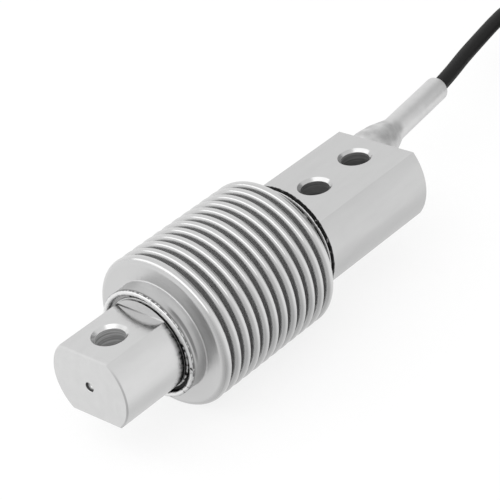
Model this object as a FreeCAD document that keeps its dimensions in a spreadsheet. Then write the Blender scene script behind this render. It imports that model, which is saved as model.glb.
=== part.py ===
import FreeCAD, Part
import math
import os
import Sketcher

# Bending-beam load cell sealed by a metal bellows, with its cable. Millimetres, degrees.
# X runs along the beam from the load end to the cable end, Y to the left and Z up.
# The origin lies on the lower flat of the fixed end, midway between the two mounting holes.

SIZES = {
    # Holes and flats of the measuring body
    "load_hole_inset": 10.0,
    "hole_span": 82.0,
    "hole_pitch": 18.0,
    "rear_hole_inset": 10.0,
    "hole_dia": 8.2,
    "hole_chamfer": 0.45,
    "top_chamfer": 0.9,
    "flat_gap": 20.0,
    "crown_height": 3.2,
    "edge_chamfer": 0.4,
    "centre_dia": 2.9,
    "centre_depth": 2.2,
    # Steps of the measuring body along its axis
    "hole_to_neck": 11.3,
    "front_neck_length": 5.7,
    "shoulder_to_hole": 14.8,
    "rear_neck_length": 5.2,
    "shoulder_step": 0.9,
    # Spring section: two cross bores joined by a slot, with a thin web above and below each
    "spring_bore": 11.0,
    "spring_web": 3.0,
    "spring_pitch": 21.0,
    "spring_slot": 4.0,
    # Bellows
    "bellows_wall": 0.35,
    "crest_count": 12.0,
    "convolution_depth": 6.5,
    "groove_width": 1.24,
    "rim_radius": 1.9,
    "corner_bevel": 0.35,
    "front_cuff_length": 5.2,
    "rear_cuff_length": 3.96,
    # End rings and seams
    "seam_setback": 0.2,
    "recess_width": 2.35,
    "recess_depth": 0.9,
    "front_ring_length": 3.8,
    "lip_wall": 0.5,
    "bead_radius": 0.7,
    "root_bead": 0.8,
    "rear_ring_wall": 1.0,
    "flange_height": 1.1,
    "flange_thickness": 0.7,
    "edge_seam_width": 0.35,
    "edge_seam_height": 0.3,
    "shoulder_seam_width": 0.55,
    "shoulder_seam_height": 1.2,
    "fit_gap": 0.05,
    # Cable, its bore beside the holes and the leaning sleeve on the rear face
    "cable_dia": 4.8,
    "bore_gap": 0.45,
    "bore_wall": 1.85,
    "beam_side_gap": 0.2,
    "gland_lean": 8.0,
    "gland_wall": 1.0,
    "gland_flare": 2.95,
    "gland_collar": 2.1,
    "gland_base_length": 8.0,
    "gland_taper_length": 5.5,
    "gland_cone_length": 7.8,
    "gland_tube_length": 27.8,
    "mouth_radius": 0.8,
    "grommet_length": 8.0,
    "grommet_inset": 0.5,
    "lead_in_bend": 60.0,
    "lead_in_reach": 6.0,
    "potting_length": 6.0,
    # Bridge wiring on the beam
    "gauge_length": 7.0,
    "gauge_width": 4.0,
    "gauge_thickness": 0.2,
    "flex_thickness": 0.2,
    "board_length": 13.0,
    "board_height": 9.0,
    "board_thickness": 1.0,
    "resistor_length": 2.0,
    "resistor_width": 1.2,
    "resistor_height": 0.6,
    "resistor_spacing": 3.0,
    "core_dia": 0.95,
    "core_twist": 0.6,
    "pad_spacing": 2.0,
    "pad_reach": 2.0,
    # Put-away cable
    "coil_radius": 28.8,
    "coil_columns": 4.0,
    "coil_layers": 4.0,
    "coil_x": 163.0,
    "coil_y": -4.1,
    "tie_width": 2.6,
    "tie_thickness": 1.0,
    "tie_gap": 0.1,
    "tie_head": 3.4,
    # Bare far end of the cable
    "sleeve_dia": 5.8,
    "sleeve_length": 14.0,
    "sleeve_start": -4.0,
    "sleeve_ring": 26.5,
    "tail_spacing": 1.0,
    "tail_length": 22.0,
    "tail_tip_length": 5.0,
    "tail_tip_dia": 0.6,
    "tail_fan": 2.0,
    "core_gap": 0.15,
}

# The free cable from the sleeve's mouth to the coil, as points of its centre line
CABLE_ROUTE = [
    (67.62, 15.63, 10.0),
    (81.0, 17.51, 10.0),
    (97.0, 21.8, 10.1),
    (113.0, 26.0, 9.1),
    (126.5, 29.1, 4.9),
    (139.0, 31.2, -1.2),
    (149.5, 32.2, -6.6),
    (162.5, 30.4, -8.9),
]
RUN_SHARE = 0.45
OVERSHOOT = 1.0
FULL_TURN = 360.0
ALONG_X = FreeCAD.Rotation(FreeCAD.Vector(0, 1, 0), 90)
# Side of the block that cuts the sleeve off at the rear face, over the sleeve's base radius
SEAT_REACH = 4.0
CORE_COLOURS = ("red", "black", "green", "white")
# Bevels that stand for a rounding: in a full half turn, in the rim's quarter turn, and on a hidden side
ROUND_BEVEL_COUNT = 4
RIM_BEVEL_COUNT = 3
INNER_BEVEL_COUNT = 2
# Leg of the bevel that touches a round cable at the corner of its coil, over the cable's radius
CORNER_BEVEL = 0.586

doc = FreeCAD.newDocument("LoadCell")


class Size:
    """A length that carries its number and the sheet formula that it comes from."""

    def __init__(self, number, formula):
        self.number = number
        self.formula = formula

    def __add__(self, other):
        other = as_size(other)
        return Size(self.number + other.number, f"({self.formula} + {other.formula})")

    def __sub__(self, other):
        other = as_size(other)
        return Size(self.number - other.number, f"({self.formula} - {other.formula})")

    def __mul__(self, factor):
        factor = as_size(factor)
        return Size(self.number * factor.number, f"({self.formula} * {factor.formula})")

    def __truediv__(self, divisor):
        divisor = as_size(divisor)
        return Size(self.number / divisor.number, f"({self.formula} / {divisor.formula})")

    def __neg__(self):
        return Size(-self.number, f"(-1 * {self.formula})")


def as_size(value):
    if isinstance(value, Size):
        return value
    return Size(float(value), f"{float(value):g}")


def fill_sheet():
    """Writes the driving dimensions to a sheet and returns each of them as a Size."""
    sheet = doc.addObject("Spreadsheet::Sheet", "Sizes")
    for row, (alias, number) in enumerate(SIZES.items(), start=1):
        sheet.set(f"A{row}", alias)
        sheet.set(f"B{row}", f"{number:g}")
        sheet.setAlias(f"B{row}", alias)
    doc.recompute()
    return {alias: Size(float(sheet.get(alias)), f"Sizes.{alias}") for alias in SIZES}


size = fill_sheet()

# Places along the axis, counted from the load-end face, and radii about it
ZERO = as_size(0)
HALF_GAP = size["flat_gap"] / 2
HOLE_R = size["hole_dia"] / 2
LOAD_HOLE_AT = size["load_hole_inset"]
FIRST_HOLE_AT = LOAD_HOLE_AT + size["hole_span"]
SECOND_HOLE_AT = FIRST_HOLE_AT + size["hole_pitch"]
BODY_END = SECOND_HOLE_AT + size["rear_hole_inset"]
ORIGIN_AT = FIRST_HOLE_AT + size["hole_pitch"] / 2
FRONT_NECK_AT = LOAD_HOLE_AT + size["hole_to_neck"]
BEAM_START = FRONT_NECK_AT + size["front_neck_length"]
SHOULDER_AT = FIRST_HOLE_AT - size["shoulder_to_hole"]
BEAM_END = SHOULDER_AT - size["rear_neck_length"]
BEAM_MID = (BEAM_START + BEAM_END) / 2
LOAD_END_R = HALF_GAP + size["crown_height"]
CUFF_INNER_R = LOAD_END_R + size["recess_width"]
CUFF_R = CUFF_INNER_R + size["bellows_wall"]
CREST_R = CUFF_R + size["convolution_depth"]
FIXED_END_R = CUFF_R + size["shoulder_step"]
HUB_R = CUFF_INNER_R - size["fit_gap"]
REAR_NECK_R = HUB_R - size["rear_ring_wall"] - size["fit_gap"]
CABLE_R = size["cable_dia"] / 2
BORE_R = CABLE_R + size["bore_gap"]
BORE_Y = HOLE_R + size["bore_wall"] + BORE_R
BEAM_HALF_WIDTH = BORE_Y - BORE_R - size["beam_side_gap"]
BEAM_HALF_HEIGHT = size["spring_bore"] / 2 + size["spring_web"]

# Bellows, between the cuff edge behind the load end and the one before the rear flange
CUFF_START = FRONT_NECK_AT + size["seam_setback"]
FRONT_DISC_AT = CUFF_START + size["front_cuff_length"]
FIRST_CREST_AT = FRONT_DISC_AT + size["rim_radius"]
FLANGE_BACK = SHOULDER_AT - size["shoulder_seam_width"]
FLANGE_FRONT = FLANGE_BACK - size["flange_thickness"]
CUFF_END = FLANGE_FRONT - size["edge_seam_width"]
REAR_DISC_AT = CUFF_END - size["rear_cuff_length"]
LAST_CREST_AT = REAR_DISC_AT - size["rim_radius"]
CREST_PITCH = (LAST_CREST_AT - FIRST_CREST_AT) / (size["crest_count"] - 1)
ROOT_ARC_R = size["groove_width"] / 2
CREST_ARC_R = CREST_PITCH / 2 - ROOT_ARC_R

# Sleeve on the rear face, along its own leaning axis
GLAND_TUBE_R = BORE_R + size["gland_wall"]
GLAND_COLLAR_R = GLAND_TUBE_R + size["gland_collar"]
GLAND_BASE_R = GLAND_TUBE_R + size["gland_flare"]
GLAND_TAPER_AT = size["gland_base_length"]
GLAND_CONE_AT = GLAND_TAPER_AT + size["gland_taper_length"]
GLAND_TUBE_AT = GLAND_CONE_AT + size["gland_cone_length"]
GLAND_END = GLAND_TUBE_AT + size["gland_tube_length"]

# Coil and far end
FLOOR_Z = HALF_GAP - CREST_R
COIL_BASE_Z = FLOOR_Z + size["tie_thickness"]
COIL_HALF_WIDTH = size["coil_columns"] * size["cable_dia"] / 2
COIL_HEIGHT = size["coil_layers"] * size["cable_dia"]
COIL_TOP_Z = COIL_BASE_Z + COIL_HEIGHT
COIL_INNER_R = size["coil_radius"] - COIL_HALF_WIDTH
COIL_OUTER_R = size["coil_radius"] + COIL_HALF_WIDTH

parts = []


def bind(thing, path, value):
    thing.setExpression(path, as_size(value).formula)


def place(thing, x, y, z):
    """Binds where an object sits."""
    bind(thing, "Placement.Base.x", x)
    bind(thing, "Placement.Base.y", y)
    bind(thing, "Placement.Base.z", z)


def on_axis(thing, along=ZERO, left=ZERO, up=ZERO):
    """Places an object by its distance from the load-end face and its offsets from the axis."""
    place(thing, along - ORIGIN_AT, left, up + HALF_GAP)


def sub_part(thing, node):
    thing.Label = node
    parts.append(thing)
    return thing


def new_body(node):
    return sub_part(doc.addObject("PartDesign::Body", f"Body_{node}"), node)


def new_sketch(body, role, name):
    plane = next(f for f in body.Origin.OriginFeatures if f.Role == role)
    sketch = body.newObject("Sketcher::SketchObject", name)
    sketch.AttachmentSupport = [(plane, "")]
    sketch.MapMode = "FlatFace"
    return sketch


def pin(sketch, geometry, point, x, y, name):
    """Ties one sketch point to its two coordinates."""
    for kind, axis, value in (("DistanceX", -2, x), ("DistanceY", -1, y)):
        value = as_size(value)
        if value is ZERO:
            sketch.addConstraint(Sketcher.Constraint("PointOnObject", geometry, point, axis))
            continue
        index = sketch.addConstraint(Sketcher.Constraint(kind, -1, 1, geometry, point, value.number))
        label = f"{name}_{kind[-1].lower()}"
        sketch.renameConstraint(index, label)
        bind(sketch, f"Constraints.{label}", value)


def arc_between(start, end, radius, turn):
    """The arc of under half a turn from start to end, to the left for turn 1 and the right for -1."""
    chord = end - start
    across = FreeCAD.Vector(-chord.y, chord.x, 0).normalize() * turn
    rise = math.sqrt(radius**2 - (chord.Length / 2) ** 2)
    centre = (start + end) * 0.5 + across * rise
    circle = Part.Circle(centre, FreeCAD.Vector(0, 0, 1), radius)
    first, last = (start, end) if turn > 0 else (end, start)
    return Part.ArcOfCircle(circle, circle.parameter(first), circle.parameter(last))


def draw(sketch, corners):
    """Draws a closed outline. A corner is x, y, and for an arc that leads to it, radius and turn."""
    points = [FreeCAD.Vector(as_size(c[0]).number, as_size(c[1]).number, 0) for c in corners]
    ends = []
    first = sketch.GeometryCount
    for index, corner in enumerate(corners):
        start, end = points[index - 1], points[index]
        geometry = first + index
        name = f"p{geometry}"
        if len(corner) == 2:
            sketch.addGeometry(Part.LineSegment(start, end), False)
            ends.append((1, 2))
            continue
        radius, turn = as_size(corner[2]), corner[3]
        sketch.addGeometry(arc_between(start, end, radius.number, turn), False)
        ends.append((1, 2) if turn > 0 else (2, 1))
        number = sketch.addConstraint(Sketcher.Constraint("Radius", geometry, radius.number))
        sketch.renameConstraint(number, f"{name}_r")
        bind(sketch, f"Constraints.{name}_r", radius)
    count = len(corners)
    for index, corner in enumerate(corners):
        after = (index + 1) % count
        here = (first + index, ends[index][1])
        sketch.addConstraint(Sketcher.Constraint("Coincident", *here, first + after, ends[after][0]))
        pin(sketch, *here, corner[0], corner[1], f"p{first + index}")


def bevels(along, level, radius, start, end, steps):
    """Corners of the straight bevels that follow a rounding between two angles, in degrees from the axis."""
    corners = []
    for step in range(steps + 1):
        angle = math.radians(start + (end - start) * step / steps)
        reach = radius * round(math.cos(angle), 6)
        rise = radius * round(math.sin(angle), 6)
        corners.append((along + reach, level + rise))
    return corners


def revolved(body, name, corners):
    """A piece turned about the X axis from its half section, given as places along it and radii."""
    sketch = new_sketch(body, "XZ_Plane", f"{name}_section")
    draw(sketch, corners)
    feature = body.newObject("PartDesign::Revolution", name)
    feature.Profile = sketch
    feature.ReferenceAxis = (sketch, ["H_Axis"])
    feature.Angle = FULL_TURN
    return feature


def cut_through(body, name, role, outlines):
    """Cuts closed outlines right through a body, square to one of its planes."""
    sketch = new_sketch(body, role, f"{name}_outline")
    for corners in outlines:
        draw(sketch, corners)
    pocket = body.newObject("PartDesign::Pocket", name)
    pocket.Profile = sketch
    pocket.Type = "ThroughAll"
    pocket.SideType = "Symmetric"
    return pocket


def mirrored(corners):
    """The same outline on the other side of the axis."""
    return [(x, -y) for x, y in corners]


def turned_piece(node, corners):
    body = new_body(node)
    revolved(body, f"{node}_turn", corners)
    on_axis(body)
    return body


def chamfered_hole(body, name, along):
    """A through hole square to the flats, with its rim chamfered on both of them, more so on top."""
    lower = size["hole_chamfer"]
    upper = size["top_chamfer"]
    beyond = HALF_GAP + OVERSHOOT
    sketch = new_sketch(body, "XZ_Plane", f"{name}_section")
    axis = sketch.addGeometry(
        Part.LineSegment(
            FreeCAD.Vector(along.number, -beyond.number, 0),
            FreeCAD.Vector(along.number, beyond.number, 0),
        ),
        True,
    )
    pin(sketch, axis, 1, along, -beyond, "axis_start")
    pin(sketch, axis, 2, along, beyond, "axis_end")
    draw(
        sketch,
        [
            (along, -beyond),
            (along + HOLE_R + lower + OVERSHOOT, -beyond),
            (along + HOLE_R, lower - HALF_GAP),
            (along + HOLE_R, HALF_GAP - upper),
            (along + HOLE_R + upper + OVERSHOOT, beyond),
            (along, beyond),
        ],
    )
    groove = body.newObject("PartDesign::Groove", name)
    groove.Profile = sketch
    groove.ReferenceAxis = (sketch, ["Axis0"])
    groove.Angle = FULL_TURN


def cross_bore(body, name, along):
    """A plain bore across the beam."""
    sketch = new_sketch(body, "XZ_Plane", f"{name}_outline")
    radius = size["spring_bore"] / 2
    centre = FreeCAD.Vector(along.number, 0, 0)
    circle = sketch.addGeometry(Part.Circle(centre, FreeCAD.Vector(0, 0, 1), radius.number), False)
    index = sketch.addConstraint(Sketcher.Constraint("Radius", circle, radius.number))
    sketch.renameConstraint(index, "bore_radius")
    bind(sketch, "Constraints.bore_radius", radius)
    pin(sketch, circle, 3, along, ZERO, "centre")
    pocket = body.newObject("PartDesign::Pocket", name)
    pocket.Profile = sketch
    pocket.Type = "ThroughAll"
    pocket.SideType = "Symmetric"


def measuring_body():
    """The bar: load end, front neck, beam, rear neck and fixed end in one piece."""
    body = new_body("measuring_body")
    chamfer = size["edge_chamfer"]
    centre_r = size["centre_dia"] / 2
    centre = size["centre_depth"]
    revolved(
        body,
        "bar",
        [
            (centre, ZERO),
            (ZERO, centre_r),
            (ZERO, LOAD_END_R - chamfer),
            (chamfer, LOAD_END_R),
            (BEAM_END, LOAD_END_R),
            (BEAM_END, REAR_NECK_R),
            (SHOULDER_AT, REAR_NECK_R),
            (SHOULDER_AT, FIXED_END_R),
            (BODY_END - chamfer, FIXED_END_R),
            (BODY_END, FIXED_END_R - chamfer),
            (BODY_END, centre_r),
            (BODY_END - centre, ZERO),
        ],
    )
    rim = FIXED_END_R + OVERSHOOT
    ramp = HALF_GAP - chamfer - OVERSHOOT
    load_flat = [
        (as_size(-OVERSHOOT), rim),
        (as_size(-OVERSHOOT), ramp),
        (chamfer, HALF_GAP),
        (FRONT_NECK_AT, HALF_GAP),
        (FRONT_NECK_AT, rim),
    ]
    fixed_flat = [
        (SHOULDER_AT, rim),
        (SHOULDER_AT, HALF_GAP),
        (BODY_END - chamfer, HALF_GAP),
        (BODY_END + OVERSHOOT, ramp),
        (BODY_END + OVERSHOOT, rim),
    ]
    cut_through(body, "load_flats", "XZ_Plane", [load_flat, mirrored(load_flat)])
    cut_through(body, "fixed_flats", "XZ_Plane", [fixed_flat, mirrored(fixed_flat)])
    beam_top = [
        (BEAM_START, rim),
        (BEAM_START, BEAM_HALF_HEIGHT),
        (BEAM_END, BEAM_HALF_HEIGHT),
        (BEAM_END, rim),
    ]
    beam_side = [
        (BEAM_START, rim),
        (BEAM_START, BEAM_HALF_WIDTH),
        (BEAM_END, BEAM_HALF_WIDTH),
        (BEAM_END, rim),
    ]
    cut_through(body, "beam_height", "XZ_Plane", [beam_top, mirrored(beam_top)])
    cut_through(body, "beam_width", "XY_Plane", [beam_side, mirrored(beam_side)])
    cross_bore(body, "front_spring_bore", BEAM_MID - size["spring_pitch"] / 2)
    cross_bore(body, "rear_spring_bore", BEAM_MID + size["spring_pitch"] / 2)
    half_slot = size["spring_slot"] / 2
    slot = [
        (BEAM_MID - size["spring_pitch"] / 2, -half_slot),
        (BEAM_MID + size["spring_pitch"] / 2, -half_slot),
        (BEAM_MID + size["spring_pitch"] / 2, half_slot),
        (BEAM_MID - size["spring_pitch"] / 2, half_slot),
    ]
    cut_through(body, "spring_slot", "XZ_Plane", [slot])
    chamfered_hole(body, "load_hole", LOAD_HOLE_AT)
    chamfered_hole(body, "first_mounting_hole", FIRST_HOLE_AT)
    chamfered_hole(body, "second_mounting_hole", SECOND_HOLE_AT)
    bore = body.newObject("PartDesign::SubtractiveCylinder", "cable_bore")
    bind(bore, "Radius", BORE_R)
    bind(bore, "Height", BODY_END - BEAM_END)
    bore.Placement = FreeCAD.Placement(FreeCAD.Vector(), ALONG_X)
    place(bore, BEAM_END, BORE_Y, ZERO)
    on_axis(body)


def bellows():
    """Thin tube of deep convolutions: an end disc and a cuff in front, the grooves, and the same behind."""
    body = new_body("bellows")
    wall = size["bellows_wall"]
    rim = size["rim_radius"]
    corner = size["corner_bevel"]
    rim_base = CREST_R - rim
    inner_crest = CREST_R - wall

    def end_section(disc, edge, crest, way):
        """Half section of a cuff, its disc and the disc's rounded rim. way is 1 in front, -1 behind."""
        inner_disc = disc + wall * way
        square = 180 if way > 0 else 0
        outer_rim = bevels(crest, rim_base, rim, square, 90, RIM_BEVEL_COUNT)
        inner_rim = bevels(crest, rim_base, rim - wall, 90, square, INNER_BEVEL_COUNT)
        return [
            (edge, CUFF_R),
            (disc - corner * way, CUFF_R),
            (disc, CUFF_R + corner),
            *outer_rim,
            *inner_rim,
            (inner_disc, CUFF_R + corner),
            (disc - corner * way, CUFF_INNER_R),
            (edge, CUFF_INNER_R),
        ]

    revolved(body, "front_end", end_section(FRONT_DISC_AT, CUFF_START, FIRST_CREST_AT, 1))
    start = FIRST_CREST_AT
    end = FIRST_CREST_AT + CREST_PITCH
    middle = FIRST_CREST_AT + CREST_PITCH / 2
    crest_base = CREST_R - CREST_ARC_R
    half_round = ROUND_BEVEL_COUNT // 2
    inner_arc = CREST_ARC_R - wall
    inner_half = ROOT_ARC_R + wall
    groove = revolved(
        body,
        "groove",
        [
            *bevels(start, crest_base, CREST_ARC_R, 90, 0, half_round),
            (middle - ROOT_ARC_R, CUFF_R),
            (middle + ROOT_ARC_R, CUFF_R),
            *bevels(end, crest_base, CREST_ARC_R, 180, 90, half_round),
            *bevels(end, crest_base, inner_arc, 90, 180, INNER_BEVEL_COUNT - 1),
            (middle + inner_half, CUFF_INNER_R),
            (middle - inner_half, CUFF_INNER_R),
            *bevels(start, crest_base, inner_arc, 0, 90, INNER_BEVEL_COUNT - 1),
        ],
    )
    row = body.newObject("PartDesign::LinearPattern", "groove_row")
    row.Originals = [groove]
    row.Direction = (groove.Profile[0], ["H_Axis"])
    bind(row, "Length", LAST_CREST_AT - FIRST_CREST_AT - CREST_PITCH)
    bind(row, "Occurrences", size["crest_count"] - 1)
    body.Tip = row
    revolved(body, "rear_end", end_section(REAR_DISC_AT, CUFF_END, LAST_CREST_AT, -1))
    on_axis(body)


def end_rings():
    """Rings between the bar's necks and the bellows' cuffs."""
    gap = size["fit_gap"]
    bottom = CUFF_START + size["recess_depth"]
    back = bottom + size["front_ring_length"]
    lip = HUB_R - size["lip_wall"]
    turned_piece(
        "front_end_ring",
        [
            (bottom, LOAD_END_R + gap),
            (bottom, lip),
            (CUFF_START, lip),
            (CUFF_START, HUB_R),
            (back, HUB_R),
            (back, LOAD_END_R + gap),
        ],
    )
    flange_r = CUFF_R + size["flange_height"]
    half = size["flange_thickness"] / 2
    turned_piece(
        "rear_end_ring",
        [
            (BEAM_END + gap, REAR_NECK_R + gap),
            (BEAM_END + gap, HUB_R),
            (FLANGE_FRONT, HUB_R),
            *bevels(FLANGE_FRONT + half, flange_r - half, half, 180, 0, ROUND_BEVEL_COUNT),
            (FLANGE_BACK, REAR_NECK_R + gap),
        ],
    )


def seams():
    """Weld beads that close the bellows at both ends."""
    gap = size["fit_gap"]
    bead = size["bead_radius"]
    middle = HUB_R + gap / 2
    turned_piece("front_edge_weld", bevels(CUFF_START, middle, bead, 270, 90, ROUND_BEVEL_COUNT))
    bottom = CUFF_START + size["recess_depth"]
    root = size["root_bead"]
    turned_piece(
        "front_root_weld",
        [
            (bottom, LOAD_END_R),
            (bottom - root, LOAD_END_R),
            (bottom, LOAD_END_R + root),
        ],
    )
    edge_r = CUFF_R + size["edge_seam_height"]
    turned_piece(
        "rear_edge_weld",
        [
            (CUFF_END, HUB_R + gap),
            (CUFF_END, edge_r),
            (FLANGE_FRONT, edge_r),
            (FLANGE_FRONT, HUB_R + gap),
        ],
    )
    half = size["shoulder_seam_width"] / 2
    seam_r = CUFF_R + size["shoulder_seam_height"]
    turned_piece(
        "rear_shoulder_weld",
        [
            (FLANGE_BACK, REAR_NECK_R + gap),
            *bevels(FLANGE_BACK + half, seam_r - half, half, 180, 0, ROUND_BEVEL_COUNT),
            (SHOULDER_AT, REAR_NECK_R + gap),
        ],
    )


def box(node, length, width, height, along, left, up):
    """A block with its lowest corner at a place given from the load-end face and the axis."""
    block = doc.addObject("Part::Box", f"Box_{node}")
    block.Label = node
    bind(block, "Length", length)
    bind(block, "Width", width)
    bind(block, "Height", height)
    on_axis(block, along, left, up)
    return block


def bridge_wiring():
    """Gauges over the thin webs, the strips that join them, the terminal board and its resistors."""
    length = size["gauge_length"]
    width = size["gauge_width"]
    thick = size["gauge_thickness"]
    board_y = BEAM_HALF_WIDTH
    board_top = size["board_height"] / 2
    for level, rises in (("top", BEAM_HALF_HEIGHT), ("bottom", -(BEAM_HALF_HEIGHT + thick))):
        for end, way in (("front", -1), ("rear", 1)):
            middle = BEAM_MID + size["spring_pitch"] / 2 * way
            start = middle - length / 2
            parts.append(box(f"gauge_{level}_{end}", length, width, thick, start, -(width / 2), rises))
    reach = size["spring_pitch"] - length
    strip = size["flex_thickness"]
    outside = board_y + strip
    for level, way in (("top", 1), ("bottom", -1)):
        fold = [
            (-(width / 2), BEAM_HALF_HEIGHT * way),
            (board_y, BEAM_HALF_HEIGHT * way),
            (board_y, board_top * way),
            (outside, board_top * way),
            (outside, (BEAM_HALF_HEIGHT + strip) * way),
            (-(width / 2), (BEAM_HALF_HEIGHT + strip) * way),
        ]
        body = new_body(f"gauge_strip_{level}")
        sketch = new_sketch(body, "YZ_Plane", f"strip_{level}_fold")
        draw(sketch, fold)
        pad = body.newObject("PartDesign::Pad", f"strip_{level}_pad")
        pad.Profile = sketch
        bind(pad, "Length", reach)
        on_axis(body, BEAM_MID - reach / 2)
    board = box(
        "terminal_board",
        size["board_length"],
        size["board_thickness"],
        size["board_height"],
        BEAM_MID - size["board_length"] / 2,
        board_y,
        -board_top,
    )
    parts.append(board)
    face = board_y + size["board_thickness"]
    resistors = []
    for step in (-1, 0, 1):
        resistors.append(
            box(
                f"resistor_{step + 2}",
                size["resistor_length"],
                size["resistor_height"],
                size["resistor_width"],
                BEAM_MID - size["resistor_spacing"],
                face,
                size["resistor_spacing"] * step - size["resistor_width"] / 2,
            )
        )
    group = doc.addObject("Part::Compound", "Trim")
    group.Links = resistors
    sub_part(group, "trim_resistors")


def solid_at(node, shape):
    """A piece whose shape comes from a path, with its own placement on the axis."""
    feature = doc.addObject("Part::Feature", f"Shape_{node}")
    feature.Shape = shape
    on_axis(feature)
    return sub_part(feature, node)


def rounded_path(points, radii):
    """Straight runs through the points, joined by tangent arcs of the given radii at the inner ones."""
    edges = []
    start = points[0]
    for before, corner, after, radius in zip(points, points[1:], points[2:], radii):
        arriving = (corner - before).normalize()
        leaving = (after - corner).normalize()
        half_turn = arriving.getAngle(leaving) / 2
        tangent = radius * math.tan(half_turn)
        inward = (leaving - arriving).normalize()
        arc_start = corner - arriving * tangent
        arc_end = corner + leaving * tangent
        arc_middle = corner + inward * radius * (1 / math.cos(half_turn) - 1)
        edges.append(Part.LineSegment(start, arc_start).toShape())
        edges.append(Part.Arc(arc_start, arc_middle, arc_end).toShape())
        start = arc_end
    edges.append(Part.LineSegment(start, points[-1]).toShape())
    return Part.Wire(edges)


def widest_radii(points):
    """The radius that the shorter run beside each inner point allows."""
    radii = []
    for before, corner, after in zip(points, points[1:], points[2:]):
        shorter = min((corner - before).Length, (after - corner).Length)
        half_turn = (corner - before).getAngle(after - corner) / 2
        radii.append(RUN_SHARE * shorter / math.tan(half_turn))
    return radii


def tube(path, radius):
    """A round solid along a path."""
    first = path.Edges[0]
    direction = first.tangentAt(first.FirstParameter)
    section = Part.Wire(Part.makeCircle(radius, path.Vertexes[0].Point, direction))
    return path.makePipeShell([section], True, False)


def leaning_frame(piece):
    """Places a turned piece on the sleeve's axis, which leans outwards from the bore's mouth."""
    piece.Placement = FreeCAD.Placement(FreeCAD.Vector(), FreeCAD.Rotation(FreeCAD.Vector(0, 0, 1), 1))
    on_axis(piece, BODY_END, BORE_Y)
    bind(piece, "Placement.Rotation.Angle", size["gland_lean"])


def cable_gland():
    """The flared sleeve, cut off flush with the rear face that it stands on, and the ring in its mouth."""
    sink = as_size(-2 * OVERSHOOT)
    mouth = size["mouth_radius"]
    turned = doc.addObject("PartDesign::Body", "Body_gland")
    revolved(
        turned,
        "gland_turn",
        [
            (sink, BORE_R),
            (sink, GLAND_BASE_R),
            (GLAND_TAPER_AT, GLAND_BASE_R),
            (GLAND_CONE_AT, GLAND_COLLAR_R),
            (GLAND_TUBE_AT, GLAND_TUBE_R),
            (GLAND_END - mouth, GLAND_TUBE_R),
            (GLAND_END, GLAND_TUBE_R - mouth, mouth, -1),
            (GLAND_END, BORE_R),
        ],
    )
    leaning_frame(turned)
    reach = GLAND_BASE_R * SEAT_REACH
    front = box("gland_seat", reach, reach, reach, BODY_END - reach, BORE_Y - reach / 2, -(reach / 2))
    seated = doc.addObject("Part::Cut", "Cut_gland")
    seated.Base = turned
    seated.Tool = front
    sub_part(seated, "cable_gland")
    grommet = new_body("gland_grommet")
    back = GLAND_END - size["grommet_inset"]
    revolved(
        grommet,
        "grommet_turn",
        [
            (back - size["grommet_length"], CABLE_R),
            (back - size["grommet_length"], BORE_R),
            (back, BORE_R),
            (back, CABLE_R),
        ],
    )
    leaning_frame(grommet)


def cable_inside():
    """The jacketed cable in the sleeve and the bore, its potting and the cores that fan out to the board."""
    lean = math.radians(size["gland_lean"].number)
    bore_y = BORE_Y.number
    inner_end = FreeCAD.Vector((BEAM_END - size["lead_in_reach"]).number, bore_y, 0)
    bend = FreeCAD.Vector(BODY_END.number, bore_y, 0)
    mouth = bend + FreeCAD.Vector(math.cos(lean), math.sin(lean), 0) * GLAND_END.number
    path = rounded_path([inner_end, bend, mouth], [size["lead_in_bend"].number])
    solid_at("cable_lead_in", tube(path, CABLE_R.number))
    potting = new_body("bore_potting")
    revolved(
        potting,
        "potting_turn",
        [
            (BEAM_END, CABLE_R),
            (BEAM_END, BORE_R),
            (BEAM_END + size["potting_length"], BORE_R),
            (BEAM_END + size["potting_length"], CABLE_R),
        ],
    )
    on_axis(potting, ZERO, BORE_Y)
    radius = size["core_dia"].number / 2
    twist = size["core_twist"].number
    pad_x = (BEAM_MID + size["board_length"] / 2 - size["pad_reach"]).number
    pad_y = (BEAM_HALF_WIDTH + size["board_thickness"] + size["fit_gap"]).number + radius
    corners = ((twist, twist), (-twist, twist), (-twist, -twist), (twist, -twist))
    middle = (len(CORE_COLOURS) - 1) / 2
    for index, (colour, (left, up)) in enumerate(zip(CORE_COLOURS, corners)):
        pad_z = (middle - index) * size["pad_spacing"].number
        start = inner_end + FreeCAD.Vector(-size["core_gap"].number, left, up)
        end = FreeCAD.Vector(pad_x, pad_y, pad_z)
        core = Part.makeCylinder(radius, (end - start).Length, start, end - start)
        solid_at(f"inner_core_{colour}", core)


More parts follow.
